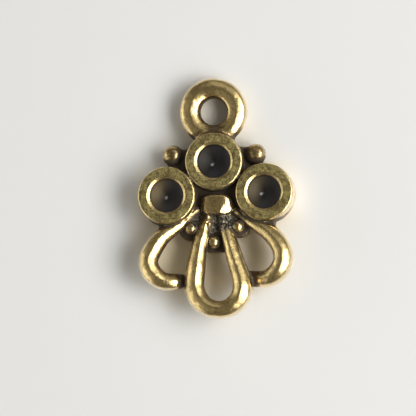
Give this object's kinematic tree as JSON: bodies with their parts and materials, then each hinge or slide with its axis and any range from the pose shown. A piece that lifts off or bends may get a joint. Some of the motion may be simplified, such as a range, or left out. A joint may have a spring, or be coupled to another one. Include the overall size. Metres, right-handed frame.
{
  "type": "three-strand connector",
  "caption": "Flat-backed cast jewellery link: a round hanging ring above cups for pointed-back stones, and a collared fan of open petal loops for the strands.",
  "frame": {"origin": "middle of the outline seen from the stone side, on the plane of the flat backs of the cups", "axes": "+Y runs along the link towards the hanging ring, +Z points out of the stone cups, +X is to the right seen from the stone side with the ring at the top"},
  "size_m": [0.0126, 0.0192, 0.0029],
  "materials": {
    "antique_gold": "antiqued gold plate: worn bright on the crests, dark brown in the recesses"
  },
  "bodies": {
    "root": {"connector_casting": "antique_gold"}
  },
  "joints": []
}
